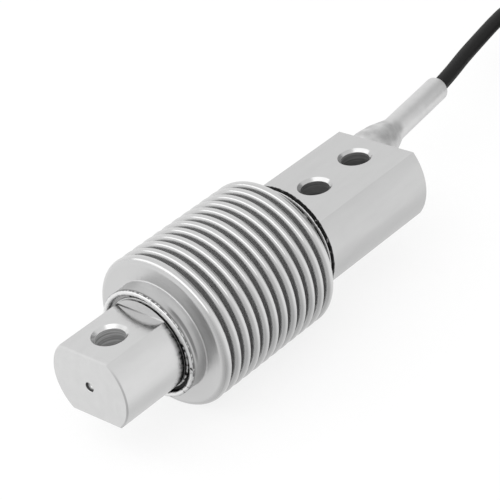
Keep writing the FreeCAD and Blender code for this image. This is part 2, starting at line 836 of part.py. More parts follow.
def coil_and_tie():
    """The put-away length as one ring of its outer shape, and the tie round its far side."""
    body = new_body("cable_coil")
    bevel = CABLE_R * CORNER_BEVEL
    sketch = new_sketch(body, "XZ_Plane", "coil_section")
    draw(
        sketch,
        [
            (COIL_INNER_R, bevel),
            (COIL_INNER_R + bevel, ZERO),
            (COIL_OUTER_R - bevel, ZERO),
            (COIL_OUTER_R, bevel),
            (COIL_OUTER_R, COIL_HEIGHT - bevel),
            (COIL_OUTER_R - bevel, COIL_HEIGHT),
            (COIL_INNER_R + bevel, COIL_HEIGHT),
            (COIL_INNER_R, COIL_HEIGHT - bevel),
        ],
    )
    ring = body.newObject("PartDesign::Revolution", "coil_ring")
    ring.Profile = sketch
    ring.ReferenceAxis = (sketch, ["V_Axis"])
    ring.Angle = FULL_TURN
    place(body, size["coil_x"], size["coil_y"], COIL_BASE_Z)
    tie = new_body("cable_tie")
    gap = size["tie_gap"]
    thick = size["tie_thickness"]
    half_in = COIL_HALF_WIDTH + gap
    half_out = half_in + thick
    top_out = COIL_HEIGHT + thick
    sketch = new_sketch(tie, "XZ_Plane", "tie_loop")
    for half, bottom, top in ((half_out, -thick, top_out), (half_in, ZERO, COIL_HEIGHT)):
        draw(sketch, [(-half, bottom), (half, bottom), (half, top), (-half, top)])
    band = tie.newObject("PartDesign::Pad", "tie_band")
    band.Profile = sketch
    band.SideType = "Symmetric"
    bind(band, "Length", size["tie_width"])
    head_half = size["tie_head"] / 2
    middle = COIL_HEIGHT / 2
    sketch = new_sketch(tie, "XZ_Plane", "tie_head_outline")
    draw(
        sketch,
        [
            (half_in + thick / 2, middle - head_half),
            (half_out + head_half, middle - head_half),
            (half_out + head_half, middle + head_half),
            (half_in + thick / 2, middle + head_half),
        ],
    )
    head = tie.newObject("PartDesign::Pad", "tie_head")
    head.Profile = sketch
    head.SideType = "Symmetric"
    bind(head, "Length", size["tie_head"] + thick)
    place(tie, size["coil_x"] + size["coil_radius"], size["coil_y"], COIL_BASE_Z)
    return body


def free_cable(coil):
    """The cable from the sleeve to the coil, ending where it enters the ring of turns."""
    points = [FreeCAD.Vector(*p) for p in CABLE_ROUTE]
    radii = widest_radii(points)
    path = rounded_path(points, radii)
    shape = tube(path, CABLE_R.number)
    section = math.pi * CABLE_R.number**2
    print("cable radii", [round(r, 1) for r in radii], "length", round(path.Length, 1))
    print("cable volume over section times length", round(shape.Volume / (section * path.Length), 5))
    whole = doc.addObject("Part::Feature", "Cable_whole")
    whole.Shape = shape
    whole.Placement = FreeCAD.Placement()
    outside = doc.addObject("Part::Cut", "Cut_cable")
    outside.Base = whole
    outside.Tool = coil
    sub_part(outside, "cable")


def far_end():
    """Shrink sleeve on the cable's end and the bare cores, lying on top of the coil."""
    lying_y = size["coil_y"] - size["sleeve_ring"]
    sleeve = doc.addObject("Part::Cylinder", "Sleeve")
    bind(sleeve, "Radius", size["sleeve_dia"] / 2)
    bind(sleeve, "Height", size["sleeve_length"])
    sleeve.Placement = FreeCAD.Placement(FreeCAD.Vector(), ALONG_X)
    start_x = size["coil_x"] + size["sleeve_start"]
    lying_z = COIL_TOP_Z + size["sleeve_dia"] / 2
    place(sleeve, start_x, lying_y, lying_z)
    sub_part(sleeve, "cable_end_sleeve")
    radius = size["core_dia"] / 2
    whole = size["tail_length"] + size["tail_tip_length"]
    drop = math.degrees(math.asin((size["sleeve_dia"].number / 2 - radius.number) / whole.number))
    names = [f"tail_{colour}" for colour in CORE_COLOURS] + ["tail_shield"]
    for index, node in enumerate(names):
        step = index - (len(names) - 1) / 2
        tail = new_body(node)
        revolved(
            tail,
            f"{node}_turn",
            [
                (ZERO, ZERO),
                (ZERO, radius),
                (size["tail_length"], radius),
                (size["tail_length"], size["tail_tip_dia"] / 2),
                (whole, size["tail_tip_dia"] / 2),
                (whole, ZERO),
            ],
        )
        heading = 180.0 + step * size["tail_fan"].number
        tail.Placement = FreeCAD.Placement(FreeCAD.Vector(), FreeCAD.Rotation(heading, drop, 0))
        place(tail, start_x - size["core_gap"], lying_y - size["tail_spacing"] * step, lying_z)


def check():
    """Stops the build if any object failed or any sub-part has no sound shape."""
    for thing in doc.Objects:
        if "Invalid" in thing.State or "Error" in thing.State:
            raise RuntimeError(f"{thing.Label} failed: {thing.State}")
    for thing in parts:
        if thing.Shape.isNull() or not thing.Shape.isValid():
            raise RuntimeError(f"{thing.Label} has no valid shape")


measuring_body()
bellows()
end_rings()
seams()
bridge_wiring()
cable_gland()
cable_inside()
free_cable(coil_and_tie())
far_end()
doc.recompute()
check()
os.makedirs("parts", exist_ok=True)
for part in parts:
    part.Shape.exportStep(f"parts/{part.Label}.step")
    print(part.Label, len(part.Shape.Solids), round(part.Shape.Volume, 2))
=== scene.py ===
# %% [markdown]
# A weighing load cell, dressed for a product photograph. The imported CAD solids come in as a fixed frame:
# X runs from the load end to the cable end, Y to the left, Z up, all in metres. They give every size, and
# this lesson adds what the eye needs: a smooth bellows, weld beads, a cable and finishes for the steel.

# %% Load the frame
import bmesh
import bpy
import math
from mathutils import Matrix, Vector


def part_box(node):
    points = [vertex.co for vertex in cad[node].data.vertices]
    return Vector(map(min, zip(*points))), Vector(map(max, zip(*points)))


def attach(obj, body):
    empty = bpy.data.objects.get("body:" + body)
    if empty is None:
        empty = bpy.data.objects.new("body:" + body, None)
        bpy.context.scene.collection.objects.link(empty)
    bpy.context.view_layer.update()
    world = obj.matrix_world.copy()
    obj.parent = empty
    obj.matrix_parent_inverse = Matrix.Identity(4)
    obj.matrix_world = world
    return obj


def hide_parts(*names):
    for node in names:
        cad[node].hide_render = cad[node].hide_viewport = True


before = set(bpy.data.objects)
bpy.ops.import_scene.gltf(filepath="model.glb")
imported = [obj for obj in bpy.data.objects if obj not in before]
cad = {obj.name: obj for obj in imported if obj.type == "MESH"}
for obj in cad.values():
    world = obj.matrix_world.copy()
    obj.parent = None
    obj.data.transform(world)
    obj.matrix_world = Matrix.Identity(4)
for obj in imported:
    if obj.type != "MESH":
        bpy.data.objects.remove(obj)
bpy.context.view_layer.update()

MM = 0.001

# %% [markdown]
# The camera stands where the photographer stood. Its place was worked out from the three holes, the two
# round ends and the bellows in the picture, so the render can be laid over it. A long lens keeps the
# beam's sides almost parallel. The camera is tipped about ten degrees round its own line of sight.

# %% Camera
CAMERA_PLACE = Vector((-347.5, -326.4, 289.8)) * MM
CAMERA_AIM = Vector((0.58766, 0.61904, -0.52101))
CAMERA_ROLL = math.radians(9.98)
SENSOR_WIDTH, LENS = 36, 140.34
LENS_SHIFT = 0.0006
NEAREST_SEEN = 50 * MM
camera = bpy.data.objects.new("camera", bpy.data.cameras.new("camera"))
bpy.context.collection.objects.link(camera)
camera.data.sensor_width = SENSOR_WIDTH
camera.data.lens = LENS
camera.data.shift_y = LENS_SHIFT
camera.data.clip_start = NEAREST_SEEN
camera.location = CAMERA_PLACE
camera.rotation_mode = "QUATERNION"
aimed = CAMERA_AIM.to_track_quat("-Z", "Y").to_matrix().to_4x4()
camera.rotation_quaternion = (aimed @ Matrix.Rotation(-CAMERA_ROLL, 4, "Z")).to_quaternion()
bpy.context.scene.camera = camera
bpy.context.scene.view_settings.view_transform = "Standard"
print("camera", round(CAMERA_PLACE.length / MM), "mm from the origin, lens", LENS)

# %% [markdown]
# Every finish below is a node tree. One small function adds a node, sets it and wires it, and another turns
# the hex colours that are easy to read into the linear numbers that the shader wants. A third turns the real
# size of a mark into a noise's scale, which counts marks to the metre.

# %% Node helpers


def linear(hex_colour):
    """An sRGB hex value such as "C8C8C8" as linear red, green, blue and alpha."""
    levels = [int(hex_colour[i : i + 2], 16) / 255 for i in (0, 2, 4)]
    return [v / 12.92 if v <= 0.04045 else ((v + 0.055) / 1.055) ** 2.4 for v in levels] + [1.0]


def per_metre(size):
    """How many marks of a size in mm fit in a metre."""
    return 1 / (size * MM)


def add(tree, kind, values=(), links=(), **settings):
    """Adds a node with its settings and values, fed by sockets or by the first outputs of other nodes."""
    made = tree.nodes.new(kind)
    for name, value in settings.items():
        setattr(made, name, value)
    for socket, value in dict(values).items():
        made.inputs[socket].default_value = value
    for socket, source in dict(links).items():
        tree.links.new(getattr(source, "outputs", [source])[0], made.inputs[socket])
    return made


def new_finish(name, colour, metallic, roughness):
    """A material with only its main shader, and that shader's colour, metal and roughness set."""
    material = bpy.data.materials.new(name)
    material.use_nodes = True
    tree = material.node_tree
    tree.nodes.clear()
    values = {"Base Color": linear(colour), "Metallic": metallic, "Roughness": roughness}
    shader = add(tree, "ShaderNodeBsdfPrincipled", values)
    add(tree, "ShaderNodeOutputMaterial", links={"Surface": shader})
    return material, tree, shader


def wear(piece, material):
    """Gives a piece one material in place of what it had."""
    piece.data.materials.clear()
    piece.data.materials.append(material)


print("helpers ready")

# %% [markdown]
# The part lies on a white paper sweep. The paper is lifted to white for the camera and still takes the
# part's shadow. Steel, though, mirrors what stands round it, and from a small part the paper's edges would
# show in every facet. So mirrored rays pass through the sheet and see the tent that the paper is laid in.

# %% Paper floor
FLOOR_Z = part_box("bellows")[0].z
FLOOR_SIZE = 3000 * MM
FLOOR_GAP = 0.02 * MM
# Clouds of about 11 mm, nine of them in ten centimetres.
PAPER_CLOUD = 100 / 9
PAPER_SHADE = 0.20
bpy.ops.object.select_all(action="DESELECT")
bpy.ops.mesh.primitive_plane_add(size=FLOOR_SIZE, location=(0, 0, FLOOR_Z - FLOOR_GAP))
floor = bpy.context.object
floor.name = "floor"
paper = bpy.data.materials.new("white_paper_sweep")
paper.use_nodes = True
tree = paper.node_tree
tree.nodes.clear()
spot = add(tree, "ShaderNodeTexCoord").outputs["Object"]
cloud = add(tree, "ShaderNodeTexNoise", {"Scale": per_metre(PAPER_CLOUD)}, {"Vector": spot})
shades = {"To Min": 0.97 * PAPER_SHADE, "To Max": PAPER_SHADE}
tone = add(tree, "ShaderNodeMapRange", shades, {"Value": cloud})
sheet = add(tree, "ShaderNodeBsdfDiffuse", links={"Color": tone})
rays = add(tree, "ShaderNodeLightPath").outputs
lift = add(tree, "ShaderNodeMath", {1: 1 - PAPER_SHADE}, {0: rays["Is Camera Ray"]}, operation="MULTIPLY")
glow = add(tree, "ShaderNodeEmission", links={"Strength": lift})
white = add(tree, "ShaderNodeAddShader", links={0: sheet, 1: glow})
bent = {0: rays["Is Glossy Ray"], 1: rays["Is Transmission Ray"]}
mirrored = add(tree, "ShaderNodeMath", links=bent, operation="MAXIMUM")
through = add(tree, "ShaderNodeBsdfTransparent")
either = add(tree, "ShaderNodeMixShader", links={"Fac": mirrored, 1: white, 2: through})
add(tree, "ShaderNodeOutputMaterial", links={"Surface": either})
# Matt white paper: it melts into the background and leaves only the part's soft shadow.
wear(floor, paper)
print("floor at", round(FLOOR_Z / MM, 2), "mm")

# %% [markdown]
# The part stands in a light tent of white cloth. The cloth is darker low down on the lens's side, where the
# tent is open, a little on the far side, and at a seam behind on the right, which gives each crest of the
# bellows its soft dark edge. Walls of cloth could be modelled, but a tent is large beside a part of this
# size, so its light depends only on direction and a sky that knows its directions is enough.

# %% Light tent
SKY = [(-1.0, 0.8), (-0.75, 0.92), (-0.5, 1.14), (0.0, 1.14), (0.5, 1.02), (0.7, 0.98), (1.0, 0.98)]
LENS_SIDE, FAR_SIDE, BACK_RIGHT = (-0.63, -0.66, -0.41), (0.69, 0.62, -0.37), (0.95, -0.13, 0.29)
# A direction, the cosines at which the dimming begins and is full, and the light that is left there.
DIM_SIDES = [(LENS_SIDE, 0.40, 1.05, 0.62), (FAR_SIDE, 0.70, 1.0, 0.82), (BACK_RIGHT, 0.84, 0.97, 0.35)]


def stops(ramp, *pairs):
    """Sets a colour ramp's stops, each a position and a hex colour or linear levels."""
    elements = ramp.color_ramp.elements
    for number, (position, colour) in enumerate(pairs):
        stop = elements[number] if number < 2 else elements.new(position)
        stop.position = position
        stop.color = linear(colour) if isinstance(colour, str) else colour


world = bpy.data.worlds.new("light_tent")
bpy.context.scene.world = world
world.use_nodes = True
tree = world.node_tree
tree.nodes.clear()
direction = add(tree, "ShaderNodeTexCoord").outputs["Generated"]
upward = add(tree, "ShaderNodeSeparateXYZ", links={0: direction}).outputs["Z"]
height = add(tree, "ShaderNodeMapRange", {"From Min": -1.0}, {"Value": upward})
cloth = add(tree, "ShaderNodeValToRGB", links={"Fac": height})
stops(cloth, *[((z + 1) / 2, (light, light, light, 1)) for z, light in SKY])
for side, begins, full, kept in DIM_SIDES:
    facing = add(tree, "ShaderNodeVectorMath", {1: side}, {0: direction}, operation="DOT_PRODUCT")
    cosine = {"Value": facing.outputs["Value"]}
    fade = {"From Min": begins, "From Max": full, "To Min": 1.0, "To Max": kept}
    dimmed = add(tree, "ShaderNodeMapRange", fade, cosine, interpolation_type="SMOOTHSTEP")
    cloth = add(tree, "ShaderNodeVectorMath", links={0: cloth, "Scale": dimmed}, operation="SCALE")
seen = add(tree, "ShaderNodeLightPath").outputs["Is Camera Ray"]
tent = add(tree, "ShaderNodeMix", {"B": (1, 1, 1, 1)}, {"Factor": seen, "A": cloth}, data_type="RGBA")
sky = add(tree, "ShaderNodeBackground", {"Strength": 1.0}, {"Color": tent.outputs["Result"]})
add(tree, "ShaderNodeOutputWorld", links={"Surface": sky})
print("tent levels", SKY)

# %% [markdown]
# Two lamps shine through the cloth. The long one above the load end draws the white line along every crest
# of the bellows and lights the holes' countersinks. The small one low on the right gives the crests a
# second, softer edge. Lamps with a width are used because polished steel shows the shape of its lights.

# %% Lamps


def soft_box(name, place, length, width, power):
    """A rectangular lamp, in metres and watts, that faces the part with its long side across the beam."""
    lamp = bpy.data.objects.new(name, bpy.data.lights.new(name, "AREA"))
    lamp.data.shape = "RECTANGLE"
    lamp.data.size = length
    lamp.data.size_y = width
    lamp.data.energy = power
    back = Vector(place).normalized()
    side = back.cross(Vector((0, 1, 0))).normalized()
    turned = Matrix((side.cross(back), side, back)).transposed()
    lamp.matrix_world = Matrix.Translation(place) @ turned.to_4x4()
    bpy.context.collection.objects.link(lamp)


soft_box("top_box", (-0.46, 0.04, 0.75), length=3.0, width=0.42, power=3.7)
soft_box("side_box", (0.78, -0.42, 0.2), length=0.35, width=0.35, power=0.14)
print("lamps", [lamp.name for lamp in bpy.data.lights])

# %% [markdown]
# The cable is a jacketed signal lead of about 4.8 mm. It leaves the sleeve straight, then sinks to the table
# in one easy curve. Its far end climbs on top of the coil, over the tie, and lies there ready to be wired.
# These stretches are laid point by point, as a cable is.

# %% Cable route
CABLE_WIDTH = 4.8
CABLE_ROUTE = [
    (67.62, 15.63, 10.0),
    (76.0, 17.3, 10.0),
    (88.0, 20.5, 10.05),
    (100.0, 23.1, 10.0),
    (112.0, 25.8, 9.8),
    (124.5, 28.6, 8.9),
    (134.0, 30.8, 3.7),
    (141.2, 32.4, -2.6),
    (148.5, 33.5, -7.4),
    (157.0, 32.6, -9.0),
]
CABLE_END = [
    (190.3, -19.1, 11.2),
    (187.3, -23.1, 11.1),
    (183.6, -26.3, 11.0),
    (179.2, -28.7, 10.9),
    (174.4, -30.2, 10.8),
    (169.3, -30.6, 10.7),
    (161.0, -30.6, 10.7),
]
print("cable leaves the sleeve at", CABLE_ROUTE[0], "and ends at", CABLE_END[-1])

# %% [markdown]
# The length that the picture doesn't show is wound up behind: four layers of four turns, in by one layer and
# out by the next. The turns are true circles over half of each round. Over the rest all of a layer step over
# by one cable together, as a cable does when it is wound by hand on a spool. The last turn climbs out.

# %% Coil
COIL_CENTRE = (163.0, -4.1)
COIL_OUTER_TURN = 36.0
COIL_FLOOR = -9.0
TURNS = 4
LAYERS = 4
POINTS_PER_TURN = 36
STEP_FROM, STEP_TO = 0.50, 0.92
CLIMB_FROM, CLIMB_TO, CLIMB = 0.0, 0.22, 5.85
LEAVE_AT = 0.31
CUTS_CORNERS = 1 / math.cos(math.pi / POINTS_PER_TURN)


def eased(share, start, stop):
    """How far a point between start and stop has come, from 0 to 1, gently at both ends."""
    share = min(max((share - start) / (stop - start), 0.0), 1.0)
    return share * share * (3 - 2 * share)


def coil_section(layer, turn, share):
    """Radius and height of one point of the winding, in mm."""
    step = eased(share, STEP_FROM, STEP_TO)
    lift = math.sin(step * math.pi / 2)
    inner = COIL_OUTER_TURN - (TURNS - 1) * CABLE_WIDTH
    dip = inner + CABLE_WIDTH * (1 - step) - CABLE_WIDTH * math.cos(step * math.pi / 2)
    rise = CABLE_WIDTH * lift if turn == TURNS - 1 else 0.0
    height = COIL_FLOOR + layer * CABLE_WIDTH + rise
    if layer % 2 == 0:
        radius = COIL_OUTER_TURN - CABLE_WIDTH * (turn + step)
        return (dip if turn == TURNS - 1 else radius), height
    first = dip + CABLE_WIDTH * math.sqrt(1 - (1 - lift) ** 2)
    radius = first + CABLE_WIDTH * turn
    if turn == TURNS - 1:
        radius = first + CABLE_WIDTH * (turn - 1 + math.cos(step * math.pi / 2))
    return radius, height


def coil_points():
    """The winding's points, clockwise from above, from the end of the route to where the end leaves it."""
    points = []
    for layer in range(LAYERS):
        for turn in range(TURNS):
            leaving = layer == LAYERS - 1 and turn == TURNS - 1
            for index in range(POINTS_PER_TURN):
                share = index / POINTS_PER_TURN
                if leaving and share > LEAVE_AT:
                    return points
                radius, height = coil_section(layer, turn, share)
                if leaving:
                    over = eased(share, CLIMB_FROM, CLIMB_TO) * math.pi / 2
                    radius -= CABLE_WIDTH * (1 - math.cos(over))
                    height += CLIMB * math.sin(over)
                angle = math.pi / 2 - 2 * math.pi * share
                x = COIL_CENTRE[0] + radius * CUTS_CORNERS * math.cos(angle)
                y = COIL_CENTRE[1] + radius * CUTS_CORNERS * math.sin(angle)
                points.append((x, y, height))
    return points


cable_points = CABLE_ROUTE + coil_points() + CABLE_END
print("cable control points", len(cable_points))

# %% [markdown]
# A cable hangs and lies in smooth bends, so it is one spline through soft corners, and its round section
# comes from the curve's bevel. It stands in for the free cable and for the ring that marks the coil's room.

# %% Cable curve
line = bpy.data.curves.new("signal_cable", "CURVE")
line.dimensions = "3D"
# A bevel of 1 lets the radius of each point set the cable's own.
line.bevel_depth = 1.0
line.bevel_resolution = 5
line.resolution_u = 4
line.use_fill_caps = True
spline = line.splines.new("NURBS")
spline.points.add(len(cable_points) - 1)
for point, place in zip(spline.points, cable_points):
    point.co = (*(v * MM for v in place), 1)
    point.radius = CABLE_WIDTH / 2 * MM
spline.order_u = 3
spline.use_endpoint_u = True
cable = bpy.data.objects.new("signal_cable", line)
bpy.context.collection.objects.link(cable)
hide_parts("cable", "cable_coil")
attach(cable, "root")
print("cable curve made")

# %% [markdown]
# Most of this part came off a lathe, so most of it can be drawn as half a section and spun. The section is
# drawn as one would by hand: one point, extruded along the outline and back to its start. The spun skin
# then has its doubles merged and its normals turned outwards.

# %% Spinning a section
BODY_FROM, BODY_TO = [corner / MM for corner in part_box("measuring_body")]
FOLDS_FROM, FOLDS_TO = [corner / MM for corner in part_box("bellows")]
LOAD_FACE_X, REAR_FACE_X = BODY_FROM.x, BODY_TO.x
AXIS_Z = (FOLDS_FROM.z + FOLDS_TO.z) / 2
BEAM_AXIS = (Vector((LOAD_FACE_X, 0, AXIS_Z)), Vector((1, 0, 0)))
UP = Vector((0, 0, 1))
DOUBLES = 0.005 * MM
SMOOTH_UNDER = math.radians(35)
CORNER_REACH = 0.01


def arc(centre, radius, start, stop, parts):
    """Points on an arc, as (along, out) in mm, from one angle in degrees to another."""
    angles = [math.radians(start + (stop - start) * i / parts) for i in range(parts + 1)]
    return [(centre[0] + radius * math.cos(t), centre[1] + radius * math.sin(t)) for t in angles]


def select_near(piece, place, reach):
    """Selects the points of the piece being edited that lie within reach of a place, all in mm."""
    mesh = bmesh.from_edit_mesh(piece.data)
    for point in mesh.verts:
        point.select = (point.co / MM - place).length < reach
    mesh.select_flush(True)
    bmesh.update_edit_mesh(piece.data)


def spun(name, section, axis, steps, rounded=()):
    """Extrudes a closed section point by point, rounds its corners and spins it about an axis."""
    foot, along = axis
    places = [foot + along * a + UP * r for a, r in section]
    bpy.ops.object.select_all(action="DESELECT")
    bpy.ops.mesh.primitive_plane_add(size=MM)
    piece = bpy.context.object
    piece.name = name
    bpy.ops.object.mode_set(mode="EDIT")
    bpy.ops.mesh.merge(type="CENTER")
    bpy.ops.transform.translate(value=places[0] * MM)
    for here, there in zip(places, places[1:] + places[:1]):
        bpy.ops.mesh.extrude_vertices_move(TRANSFORM_OT_translate={"value": (there - here) * MM})
    bpy.ops.mesh.select_all(action="SELECT")
    bpy.ops.mesh.remove_doubles(threshold=DOUBLES)
    for (a, r), reach, parts in rounded:
        select_near(piece, foot + along * a + UP * r, CORNER_REACH)
        bpy.ops.mesh.bevel(offset=reach * MM, segments=parts, affect="VERTICES")
    bpy.ops.mesh.select_all(action="SELECT")
    bpy.ops.mesh.spin(steps=steps, angle=2 * math.pi, center=foot * MM, axis=along)
    bpy.ops.mesh.select_all(action="SELECT")
    bpy.ops.mesh.remove_doubles(threshold=DOUBLES)
    bpy.ops.mesh.normals_make_consistent(inside=False)
    bpy.ops.object.mode_set(mode="OBJECT")
    bpy.ops.object.shade_smooth_by_angle(angle=SMOOTH_UNDER)
    print(name, len(piece.data.polygons), "faces")
    return piece


print("beam axis at", round(AXIS_Z, 2), "mm")

# %% [markdown]
# The bellows is a thin stainless tube, pressed out into twelve round crests with deep, narrow grooves
# between them. Each end closes with a flat disc, whose rim is rolled over the first crest, and a short cuff
# that is welded to the body. It is spun in one piece here, outside and inside, from the CAD sizes, because
# the long highlights along the crests only look right on a skin without flats.

# %% Bellows
WALL = 0.35
CUFF_START, CUFF_END = FOLDS_FROM.x - LOAD_FACE_X, FOLDS_TO.x - LOAD_FACE_X
FRONT_DISC, REAR_DISC = 26.7, 71.64
FIRST_CREST, CREST_PITCH, CRESTS = 28.6, 3.74, 12
LAST_CREST = FIRST_CREST + CREST_PITCH * (CRESTS - 1)
CUFF_R, CREST_R = 15.9, (FOLDS_TO.z - FOLDS_FROM.z) / 2
CREST_ROUND, ROOT_ROUND, RIM_ROUND, CORNER_ROUND = 1.25, 0.62, 1.9, 0.35
BELLOWS_STEPS = 160


def bellows_skin(inset, parts):
    """The sheet's section from front edge to rear edge, inset into its thickness, in facets per bend."""
    points = [(CUFF_START, CUFF_R - inset)]
    points += arc((FRONT_DISC - CORNER_ROUND, CUFF_R + CORNER_ROUND), CORNER_ROUND + inset, -90, 0, 3)
    points += arc((FIRST_CREST, CREST_R - RIM_ROUND), RIM_ROUND - inset, 180, 90, 2 * parts)
    for index in range(CRESTS - 1):
        crest = FIRST_CREST + index * CREST_PITCH
        root = (crest + CREST_PITCH / 2, CUFF_R + ROOT_ROUND)
        points += arc((crest, CREST_R - CREST_ROUND), CREST_ROUND - inset, 90, 0, parts)
        points += arc(root, ROOT_ROUND + inset, 180, 360, parts + 1)
        points += arc((crest + CREST_PITCH, CREST_R - CREST_ROUND), CREST_ROUND - inset, 180, 90, parts)
    points += arc((LAST_CREST, CREST_R - RIM_ROUND), RIM_ROUND - inset, 90, 0, 2 * parts)
    points += arc((REAR_DISC + CORNER_ROUND, CUFF_R + CORNER_ROUND), CORNER_ROUND + inset, 180, 270, 3)
    return points + [(CUFF_END, CUFF_R - inset)]


sheet_section = bellows_skin(0, 5) + bellows_skin(WALL, 2)[::-1]
bellows = spun("pressed_bellows", sheet_section, BEAM_AXIS, BELLOWS_STEPS)
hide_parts("bellows")
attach(bellows, "root")

# %% [markdown]
# The cable leaves through a steel sleeve that is turned in one piece: a wide foot welded to the rear face,
# a long taper and a thin tube. It leans eight degrees outwards, so it is spun about its own axis, its
# corners are rounded before the spin, and the rear face cuts its foot off flat.

# %% Cable sleeve
LEAN = math.radians(8)
SLEEVE_Y = 8.8
SLEEVE_AXIS = (Vector((REAR_FACE_X, SLEEVE_Y, AXIS_Z)), Vector((math.cos(LEAN), math.sin(LEAN), 0)))
SLEEVE_BORE_R = 2.85
SLEEVE_STEPS = 72
FOOT_SUNK = -2.0
FOOT_TOP, TAPER_TOP, TUBE_START, TUBE_END = (8.0, 6.8), (13.5, 5.95), (21.3, 3.85), (49.1, 3.85)
sleeve_section = [
    (FOOT_SUNK, SLEEVE_BORE_R),
    (FOOT_SUNK, FOOT_TOP[1]),
    FOOT_TOP,
    TAPER_TOP,
    TUBE_START,
    TUBE_END,
    (TUBE_END[0], SLEEVE_BORE_R),
]
# A corner, how far its rounding reaches in mm, and in how many facets.
sleeve_rounds = [(FOOT_TOP, 0.5, 3), (TAPER_TOP, 0.6, 3), (TUBE_START, 1.2, 4), (TUBE_END, 0.75, 4)]
sleeve = spun("cable_sleeve", sleeve_section, SLEEVE_AXIS, SLEEVE_STEPS, sleeve_rounds)
bpy.ops.object.mode_set(mode="EDIT")
bpy.ops.mesh.select_all(action="SELECT")
bpy.ops.mesh.bisect(
    plane_co=(REAR_FACE_X * MM, 0, 0),
    plane_no=(1, 0, 0),
    clear_inner=True,
    use_fill=True,
    threshold=0.001 * MM,
)
bpy.ops.object.mode_set(mode="OBJECT")
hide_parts("cable_gland")
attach(sleeve, "root")

# %% [markdown]
# Four welds close the bellows. A seam that is run round by machine freezes in small overlapping scales, so
# each bead starts as a ring, every fourth of its sections is fattened into a scale, and a seeded push moves
# the points a little so that no two scales are alike.

# %% Weld beads
# Place along the beam, radius and thickness in mm, and slot.
WELDS = {
    "front_edge_weld": (21.75, 15.25, 0.68, "bright_weld"),
    "front_root_weld": (22.3, 13.3, 0.25, "dark_weld"),
    "rear_edge_weld": (75.8, 15.85, 0.38, "dark_weld"),
    "rear_shoulder_weld": (76.95, 16.7, 0.74, "dark_weld"),
}
SCALE_EVERY = 4
SCALE_LENGTH = 1.3
SCALE_SWELL, SCALE_PUSH = 0.12, 0.22
BEAD_SIDES = 10


def weld_bead(name, along, radius, thickness, seed):
    """A ring of frozen weld round the beam, sizes in mm."""
    scales = round(2 * math.pi * radius / SCALE_LENGTH)
    bpy.ops.object.select_all(action="DESELECT")
    bpy.ops.mesh.primitive_torus_add(
        major_radius=radius * MM,
        minor_radius=thickness * MM,
        major_segments=scales * SCALE_EVERY,
        minor_segments=BEAD_SIDES,
        location=((LOAD_FACE_X + along) * MM, 0, AXIS_Z * MM),
        rotation=(0, math.pi / 2, 0),
    )
    bead = bpy.context.object
    bead.name = name
    bpy.ops.object.transform_apply(location=True, rotation=True, scale=True)
    bpy.ops.object.mode_set(mode="EDIT")
    mesh = bmesh.from_edit_mesh(bead.data)
    for point in mesh.verts:
        turn = math.atan2(point.co.z - AXIS_Z * MM, point.co.y) / (2 * math.pi) * scales * SCALE_EVERY
        point.select = round(turn) % SCALE_EVERY == 0
    mesh.select_flush(True)
    bmesh.update_edit_mesh(bead.data)
    bpy.ops.transform.shrink_fatten(value=thickness * SCALE_SWELL * MM)
    bpy.ops.mesh.select_all(action="SELECT")
    bpy.ops.transform.vertex_random(offset=thickness * SCALE_PUSH * MM, seed=seed)
    bpy.ops.mesh.vertices_smooth(factor=0.5, repeat=1)
    bpy.ops.object.mode_set(mode="OBJECT")
    bpy.ops.object.shade_smooth()
    return bead


beads = {}
for number, (node, (along, radius, thickness, slot)) in enumerate(WELDS.items()):
    beads[node] = weld_bead(node + "_bead", along, radius, thickness, number + 1)
    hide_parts(node)
    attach(beads[node], "root")
print("weld beads", list(beads))

# %% [markdown]
# Stainless steel shows its tools: rings on turned faces, lines along milled flats, rough drilled holes. All
# of them follow the beam, so the finishes start from two numbers that any point on it has: how far along the
# beam it lies and how far out from the axis. A pattern that only knows these two can't change round the bar,
# so a third number drifts slowly across it.

# %% Along and out from the beam
RING_DRIFT = 0.01


def round_the_beam(tree):
    """Ring coordinates, Object coordinates from the axis, those split in X, Y, Z, and the way out."""
    spot = add(tree, "ShaderNodeTexCoord").outputs["Object"]
    level = add(tree, "ShaderNodeVectorMath", {1: (0, 0, -AXIS_Z * MM)}, {0: spot}, operation="ADD")
    flat = add(tree, "ShaderNodeVectorMath", {1: (0, 1, 1)}, {0: level}, operation="MULTIPLY")
    out = add(tree, "ShaderNodeVectorMath", links={0: flat}, operation="LENGTH").outputs["Value"]
    parts = add(tree, "ShaderNodeSeparateXYZ", links={0: level}).outputs
    drift = add(tree, "ShaderNodeMath", {1: RING_DRIFT}, {0: parts["Y"]}, operation="MULTIPLY")
    rings = add(tree, "ShaderNodeCombineXYZ", links={"X": parts["X"], "Y": out, "Z": drift})
    return rings, level, parts, out


print("beam coordinates ready")

# %% [markdown]
# The body is one bar of pale grey stainless. To give each of its faces its own finish, the material has to
# know where it is: on a milled flat, on the short wall where the load end's flat stops, in one of the three
# mounting holes, or in the centre drilling that held the bar in the lathe. The faces could be picked by hand
# and given a material each, but sums on the coordinates keep working when the solid's mesh changes.

# %% Faces of the measuring body
HOLES_X = [-91.0, -9.0, 9.0]
